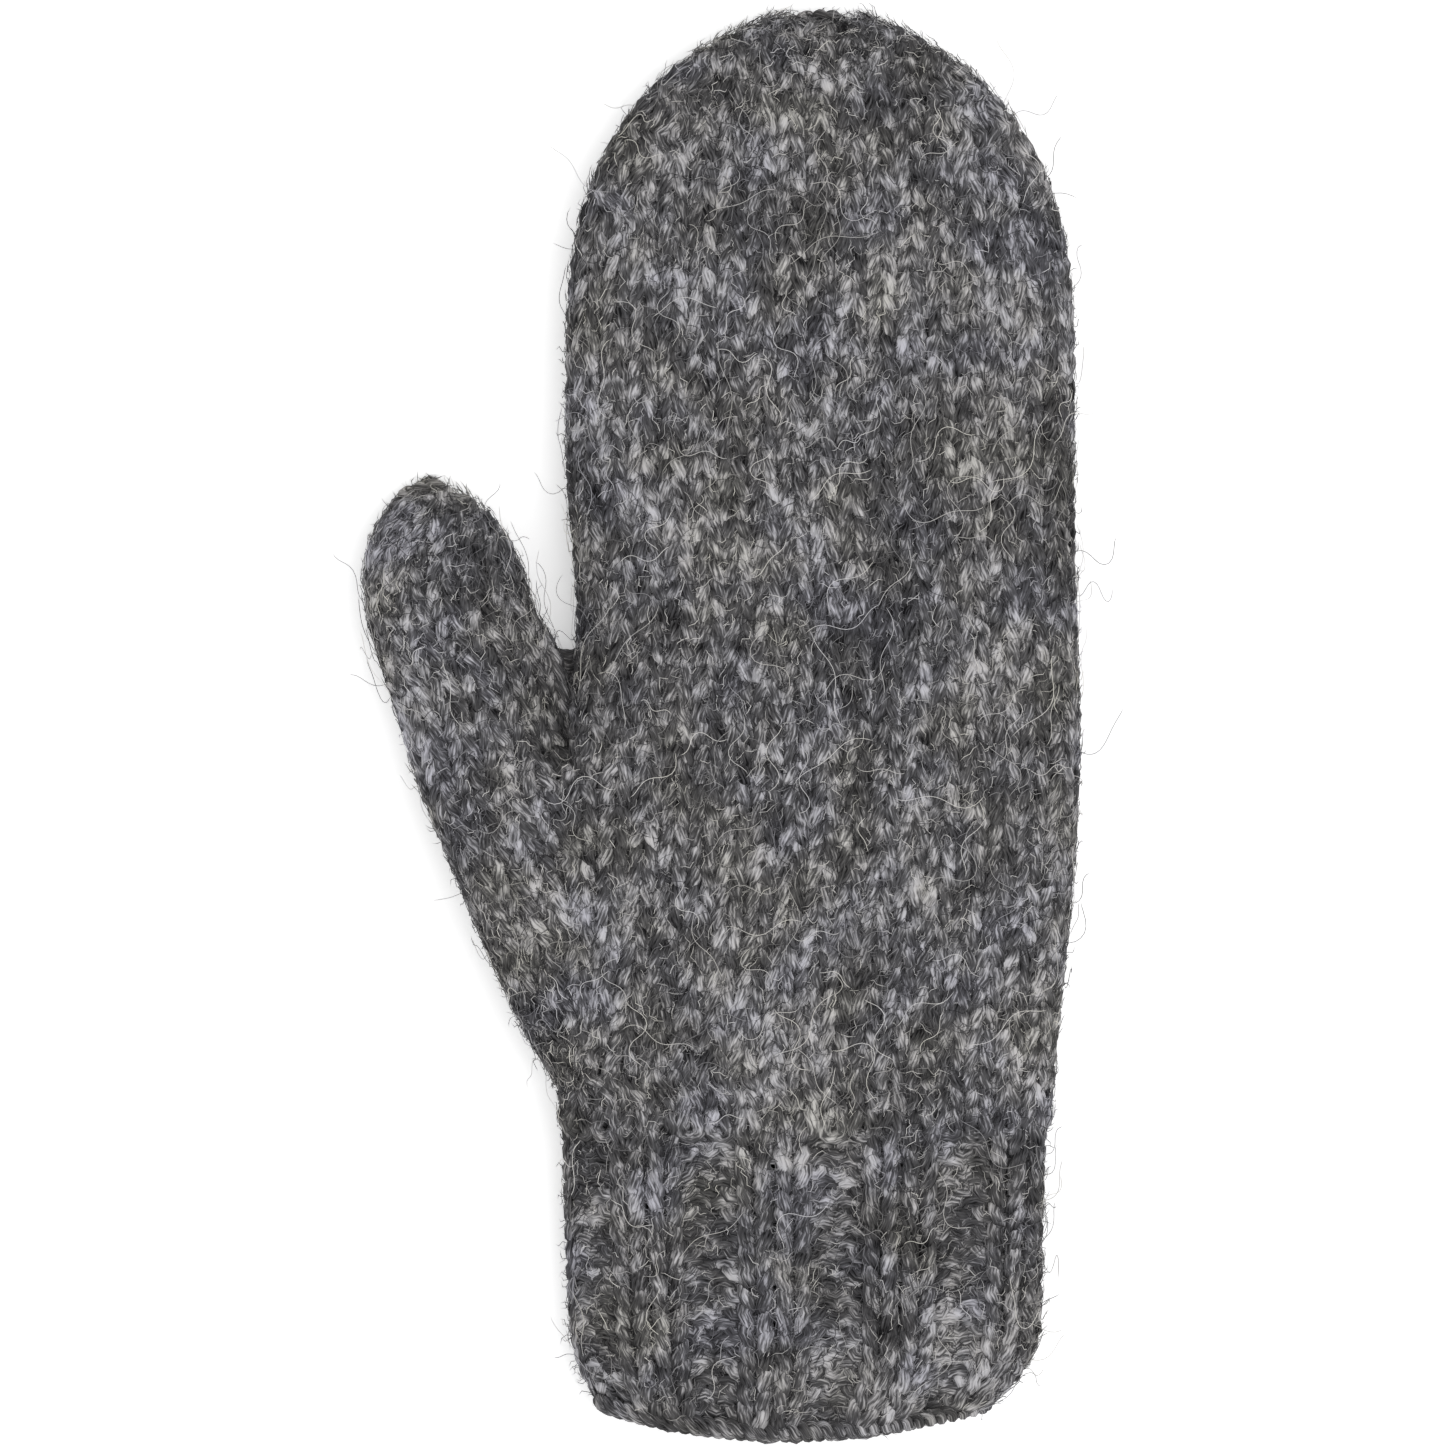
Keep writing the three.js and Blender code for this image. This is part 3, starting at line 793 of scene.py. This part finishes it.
gusset_knit = tubes_mesh("gusset_plain_rounds", [thumb_round(n) for n in gusset_numbers], plain_wool)
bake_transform(gusset_knit)
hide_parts("thumb_gusset", "thumb_root_rounds")

# ---------------------------------------------------------------------------------------------
# Thumb. A tube of plain knit in the same wool, knitted on to the gusset's last rounds. It bends at
# the thumb's joint and closes to a rounded tip by losing stitches.
# ---------------------------------------------------------------------------------------------
thumb_numbers = [n for n in thumb_side_numbers if thumb_level(n) >= THUMB_TUBE_LEVEL]
thumb_knit = tubes_mesh("thumb_plain_rounds", [thumb_round(n) for n in thumb_numbers], plain_wool)
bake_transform(thumb_knit)
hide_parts("thumb_tube", "thumb_bend_rounds", "thumb_crown")

# ---------------------------------------------------------------------------------------------
# Gathers. The yarn is drawn through the last stitches of the crown and of the thumb and pulled
# tight, which leaves a small puckered knot on each tip.
# ---------------------------------------------------------------------------------------------
LOOSE_DARK = (0.012, 0.0115, 0.0125)
LOOSE_GREY = (0.09, 0.088, 0.09)
LOOSE_PALE = (0.5, 0.49, 0.5)
loose_wool = marl_yarn("charcoal marl, loose yarn", LOOSE_DARK, LOOSE_GREY, LOOSE_PALE)
PUCKERS = 5
PUCKER_SHARE = 0.45  # how far they reach in and out, as a share of the knot's size
KNOT_HALF_WIDTH = 2.6 * MM
KNOT_HALF_HEIGHT = 2.0 * MM
KNOT_DEPTH = 0.8 * MM
KNOT_YARN_RADIUS = 1.1 * MM


def gather(name, node, across, along, body):
    """A rosette of small loops facing the way the tip points."""
    low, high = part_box(node)
    centre = np.array((low + high) / 2)
    across, along, up = np.array([*across, 0]), np.array([*along, 0]), np.array([0, 0, 1])
    turn = np.linspace(0, 2 * np.pi, 120, endpoint=False)[:, None]
    reach = 1 + PUCKER_SHARE * np.cos(PUCKERS * turn)
    ring = across * KNOT_HALF_WIDTH * np.cos(turn) + up * KNOT_HALF_HEIGHT * np.sin(turn)
    line = centre + reach * ring + along * KNOT_DEPTH * np.sin(PUCKERS * turn)
    tube = yarn_tube(line, np.broadcast_to(along, line.shape), True, KNOT_YARN_RADIUS)
    knot = tubes_mesh(name, [tube], loose_wool)
    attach(knot, body)
    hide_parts(node)


gather("crown_gather_knot", "crown_gather", (1, 0), (0, 1), "fingertips")
gather("thumb_gather_knot", "thumb_gather", across_thumb, along_thumb, "thumb_tip")

# ---------------------------------------------------------------------------------------------
# Crotch of the thumb. A few stitches picked up across the fork close the hole between the thumb
# and the hand; they are short strands that run from one edge to the other.
# ---------------------------------------------------------------------------------------------
WEB_STRANDS = 4
WEB_LAYERS = 3
WEB_FILL = 0.2  # share of the fork's depth that the strands take up, from below
WEB_RISE = 3 * MM  # how far up the fork they reach
WEB_IN_THUMB = 0.5 * MM  # how far short of the thumb's side they start
WEB_IN_HAND = 2 * MM  # how far they run on into the hand's side
WEB_SAG = 1.5 * MM
WEB_YARN_RADIUS = 1.3 * MM
UPWARD = np.array([0.0, 0.0, 1.0])
web_low, web_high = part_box("thumb_crotch_web")


def web_strand(layer, strand):
    """One strand across the fork, sagging towards the wrist."""
    run = np.linspace(0, 1, 14)[:, None]
    y = web_low.y + (web_high.y + WEB_RISE - web_low.y) * (strand + 0.2) / WEB_STRANDS
    z = web_low.z + (web_high.z - web_low.z) * WEB_FILL * (layer + 0.5) / WEB_LAYERS
    start = np.array([web_low.x + WEB_IN_THUMB, y, z])
    end = np.array([web_high.x + WEB_IN_HAND, y, z])
    line = start + (end - start) * run - np.array([0, WEB_SAG, 0]) * np.sin(np.pi * run)
    return yarn_tube(line, np.broadcast_to(UPWARD, line.shape), False, WEB_YARN_RADIUS)


web_strands = [web_strand(layer, strand) for layer in range(WEB_LAYERS) for strand in range(WEB_STRANDS)]
web = tubes_mesh("crotch_picked_up_stitches", web_strands, loose_wool)
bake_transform(web)
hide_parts("thumb_crotch_web")

# ---------------------------------------------------------------------------------------------
# Woven-in ends. The yarn's loose ends run along the inside of the back, where a needle has
# worked them in: at the cuff, beside the thumb, in the crown and in the thumb's tip.
# ---------------------------------------------------------------------------------------------
TAIL_RADIUS = 1.2 * MM
TAIL_ROOM = 1.1 * MM  # its own half width, kept clear at each side as it wanders
TAIL_SHARE = 0.97  # of its room's length
LEAST_WANDER = 0.2 * MM


def woven_end(node, along, body):
    """A length of yarn that wanders gently from side to side along its way."""
    low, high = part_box(node)
    along = np.array([*along, 0])
    centre = np.array((low + high) / 2)
    length = (high.y - low.y) / along[1] * TAIL_SHARE
    aside = np.array([along[1], -along[0], 0])
    run = np.linspace(-0.5, 0.5, max(12, round(length / MM)))[:, None]
    wander = max((high.x - low.x) / 2 - abs(along[0]) * length / 2 - TAIL_ROOM, LEAST_WANDER)
    line = centre + along * length * run + aside * wander * np.sin(4 * np.pi * run)
    tube = yarn_tube(line, np.broadcast_to(UPWARD, line.shape), False, TAIL_RADIUS)
    end = tubes_mesh(f"{node}_yarn", [tube], loose_wool)
    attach(end, body)
    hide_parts(node)


woven_end("cast_on_tail", (0, 1), "cuff")
woven_end("thumb_join_tail", (0, 1), "hand")
woven_end("crown_tail", (0, 1), "fingertips")
woven_end("thumb_tip_tail", along_thumb, "thumb_tip")

# ---------------------------------------------------------------------------------------------
# Fibres. Fine ends of the wool that brushing and wear have pulled out of the yarn: short curly down
# lying all over the fabric, and a few long pale hairs that stand off it. They are spun into the
# yarn at one end, so each stretch carries its own.
# ---------------------------------------------------------------------------------------------
DARK_FIBRE = (0.01, 0.01, 0.011)
GREY_FIBRE = (0.06, 0.059, 0.063)
SILVER_FIBRE = (0.27, 0.267, 0.273)
WHITE_FIBRE = (0.8, 0.79, 0.77)


def fibre_wool(name):
    """Wool in which each fibre has its own tone, from nearly black to white."""
    material, shader = wool(name)
    path = add_node(material, "ShaderNodeUVMap", uv_map="yarn_path").outputs["UV"]
    tone = add_node(material, "ShaderNodeSeparateXYZ", [("Vector", path)]).outputs["X"]
    colour = colour_steps(material, tone, [
        (0.0, DARK_FIBRE),
        (0.45, GREY_FIBRE),
        (0.75, SILVER_FIBRE),
        (0.95, WHITE_FIBRE),
    ])
    material.node_tree.links.new(tinted(material, colour), shader.inputs["Base Color"])
    return material


def spots_on(strip, numbers, amount, ribbed):
    """Random places on the rounds, with the upward step and the outward direction there."""
    chosen = random.choice(numbers, amount)
    spots = [np.zeros((amount, 3)) for _ in range(3)]
    for number in np.unique(chosen):
        at = np.flatnonzero(chosen == number)
        first, last = strip.ends(number)
        stitch = random.uniform(first, last, len(at))
        here, step, out = strip.setting(number, stitch, random.uniform(-0.5, 0.5, len(at)))
        if ribbed:
            wave = rib_wave(stitch * CUFF_HALF_ROUND / HALF_ROUND)
            here = here - out * (RIB_DEPTH * (1 - wave) / 2)[:, None]
        for kept, found in zip(spots, (here, step, out)):
            kept[at] = found
    return spots


FIBRE_LEAN = -0.3  # radians that the fibres lean from the way the knitting grows, on average
FIBRE_SPREAD = 0.8
FIBRE_WAVES = 1.3  # along one fibre
FIBRE_SIDES = 3
FIBRE_END = 0.05  # its width at the ends, as a share of the full width


def fibre_lines(spots, kind):
    """Centre lines of curly fibres that start at the spots and lie along the fabric."""
    here, step, out = spots
    amount, joints_count = len(here), kind["joints_count"]
    up = unit(step)
    aside = unit(np.cross(out, up))
    length = random.uniform(*kind["lengths"], amount)
    angle = random.normal(FIBRE_LEAN, FIBRE_SPREAD, amount)
    bend = random.normal(0, kind["curl"], amount)
    wave = random.uniform(0.3, 1.0, amount) * kind["curl"]
    phase = random.uniform(0, 2 * np.pi, amount)
    stride = (length / joints_count)[:, None]
    height = random.uniform(*kind["base"], amount)
    lift = random.uniform(*kind["loft"], amount)
    point = here + out * height[:, None]
    line = []
    for k in range(joints_count + 1):
        share = k / joints_count
        line.append(point + out * (lift * np.sin(np.pi * share))[:, None])
        curl = bend * (share - 0.5) + wave * np.sin(2 * np.pi * share * FIBRE_WAVES + phase)
        heading = (angle + curl)[:, None]
        point = point + stride * (up * np.cos(heading) + aside * np.sin(heading))
    line = np.stack(line, 1)
    line[:, :, 2] = np.maximum(line[:, :, 2], 2 * kind["radius"])
    return line


def fibre_skin(line, out, radius):
    """Thin tapered threads round the lines, as rings of points."""
    ahead = unit(np.gradient(line, axis=1))
    beside = unit(np.cross(ahead, out[:, None]))
    over = np.cross(beside, ahead)
    taper = np.array([FIBRE_END, *np.ones(line.shape[1] - 2), FIBRE_END]) * radius
    turn = (np.arange(FIBRE_SIDES) * 2 * np.pi / FIBRE_SIDES)[None, None, :, None]
    around = beside[:, :, None] * np.cos(turn) + over[:, :, None] * np.sin(turn)
    return line[:, :, None] + taper[None, :, None, None] * around


def fibres(name, spots, kind, material):
    """A piece of many fibres. One map holds each one's tone, and the other lays them out in squares."""
    amount, joints_count = len(spots[0]), kind["joints_count"]
    rings = fibre_skin(fibre_lines(spots, kind), spots[2], kind["radius"])
    k, j = np.meshgrid(np.arange(joints_count), np.arange(FIBRE_SIDES), indexing="ij")
    here, beyond, j_next = k * FIBRE_SIDES, (k + 1) * FIBRE_SIDES, (j + 1) % FIBRE_SIDES
    quad = np.stack([here + j, here + j_next, beyond + j_next, beyond + j], -1).reshape(-1, 4)
    first_points = np.arange(amount) * (joints_count + 1) * FIBRE_SIDES
    faces = quad[None] + first_points[:, None, None]
    tone = random.beta(*kind["tones"], amount)
    corner_share = np.stack([k, k, k + 1, k + 1], -1).reshape(-1, 4) / joints_count
    corner_turn = np.stack([j, j + 1, j + 1, j], -1).reshape(-1, 4) / FIBRE_SIDES
    every = (amount, *corner_share.shape)
    path = np.stack([
        np.broadcast_to(tone[:, None, None], every),
        np.broadcast_to(corner_share, every),
    ], -1)
    squares = math.ceil(math.sqrt(amount))
    column, row = np.arange(amount) % squares, np.arange(amount) // squares
    lay = np.stack([
        (column[:, None, None] + 0.1 + 0.8 * corner_share) / squares,
        (row[:, None, None] + 0.1 + 0.8 * corner_turn) / squares,
    ], -1)
    maps = {"yarn_path": path.reshape(-1, 2), "OFBake": lay.reshape(-1, 2)}
    return mesh_piece(name, rings.reshape(-1, 3), faces.reshape(-1, 4), material, maps)


down_wool = fibre_wool("brushed fibres")
DOWN = {
    "lengths": (2 * MM, 6 * MM),
    "curl": 1.0,
    "base": (0.7 * MM, 1.7 * MM),  # height at which it lies over the middle of the fabric
    "loft": (0.1 * MM, 0.4 * MM),  # how far its middle rises over that
    "radius": 0.07 * MM,
    "joints_count": 4,
    "tones": (1.9, 1.5),  # more of the first is paler, more of the second darker
}
HAIRS = {
    "lengths": (6 * MM, 20 * MM),
    "curl": 1.0,
    "base": (1.7 * MM, 2.1 * MM),
    "loft": (0.2 * MM, 0.9 * MM),
    "radius": 0.065 * MM,
    "joints_count": 16,
    "tones": (3.5, 1.2),
}
BATCH = 8000  # fibres in one piece


def brush(name, strips, numbers, down, hairs, hold, ribbed=False, closing=0):
    """Short down and long hairs over a stretch, fixed by the hold given.

    The closing rounds at a tip have no long ones.
    """
    batches = math.ceil(down / BATCH)
    kinds = [(f"{name}_down_{n + 1}", down // batches, DOWN) for n in range(batches)]
    for title, amount, kind in [*kinds, (f"{name}_hairs", hairs, HAIRS)]:
        used = numbers[:len(numbers) - closing] if kind is HAIRS else numbers
        sets = [spots_on(strip, used, amount // len(strips), ribbed) for strip in strips]
        spots = [np.concatenate(parts) for parts in zip(*sets)]
        hold(fibres(title, spots, kind, down_wool))


def riding(body):
    return lambda piece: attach(piece, body)


def bending():
    return lambda piece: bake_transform(piece)


both = (palm_side, back_side)
cuff_numbers = hand_rounds(mouth, wrist_low.y)
wrist_numbers = hand_rounds(wrist_low.y, palm_low.y)
hand_numbers = hand_rounds(palm_low.y, knuckle_low.y)
knuckle_numbers = hand_rounds(knuckle_low.y, finger_low.y)
finger_numbers = hand_rounds(finger_low.y, tip)
wrist_hold = bending()
finger_hold = bending()
brush("cuff", both, cuff_numbers, 11000, 180, wrist_hold, ribbed=True)
brush("wrist", both, wrist_numbers, 2200, 34, wrist_hold)
brush("hand", both, hand_numbers, 18000, 280, riding("hand"))
brush("knuckle", both, knuckle_numbers, 5600, 90, bending())
brush("finger", both, finger_numbers, 18000, 280, finger_hold, closing=7)
brush("gusset", (thumb_side,), gusset_numbers, 6000, 80, bending())
brush("thumb", (thumb_side,), thumb_numbers, 4400, 50, bending(), closing=4)

# ---------------------------------------------------------------------------------------------
# Table. A matt white table top, faintly lit from within so that the mitten's shadow stays pale. The
# mitten lies on it and nothing fixes it there.
# ---------------------------------------------------------------------------------------------
TABLE_SIDE = 6
table_top = bpy.data.materials.new("pale table")
table_top.use_nodes = True
table_shader = table_top.node_tree.nodes["Principled BSDF"]
table_shader.inputs["Base Color"].default_value = (0.95, 0.95, 0.95, 1)
table_shader.inputs["Roughness"].default_value = 0.9
table_shader.inputs["Emission Color"].default_value = (1, 1, 1, 1)
table_shader.inputs["Emission Strength"].default_value = 0.35
bpy.ops.mesh.primitive_plane_add(size=TABLE_SIDE)
floor = bpy.context.object
floor.name = "table"
floor.data.materials.append(table_top)

# ---------------------------------------------------------------------------------------------
# Light. White light from all round, as in a white tent, with one large soft lamp overhead to the
# right and a weaker one to the left.
# ---------------------------------------------------------------------------------------------
world = bpy.data.worlds.new("studio")
bpy.context.scene.world = world
world.use_nodes = True
surroundings = world.node_tree.nodes["Background"]
surroundings.inputs["Color"].default_value = (1, 1, 1, 1)
surroundings.inputs["Strength"].default_value = 0.56
bpy.context.scene.view_settings.view_transform = "Standard"


def soft_light(name, place, size, power):
    """A square lamp that faces the mitten."""
    lamp = bpy.data.lights.new(name, "AREA")
    lamp.size = size
    lamp.energy = power
    light = bpy.data.objects.new(name, lamp)
    bpy.context.scene.collection.objects.link(light)
    light.location = place
    light.rotation_euler = (-Vector(place)).to_track_quat("-Z", "Y").to_euler()


soft_light("key", (0.35, -0.05, 1.05), 0.8, 6.1)
soft_light("fill", (-0.5, -0.4, 0.9), 0.9, 1.2)

# ---------------------------------------------------------------------------------------------
# Camera. A long lens straight above the mitten, square to the table, with the whole mitten just
# inside the frame.
# ---------------------------------------------------------------------------------------------
FRAME_SIDE = 273.6 * MM
FOCUS_HEIGHT = 10 * MM  # the level at which the frame has that side
LENS = 100
SENSOR = 36
camera = bpy.data.objects.new("camera", bpy.data.cameras.new("camera"))
bpy.context.scene.collection.objects.link(camera)
camera.data.lens = LENS
camera.data.sensor_width = SENSOR
camera.location = (0, 0, FRAME_SIDE * LENS / SENSOR + FOCUS_HEIGHT)
bpy.context.scene.camera = camera
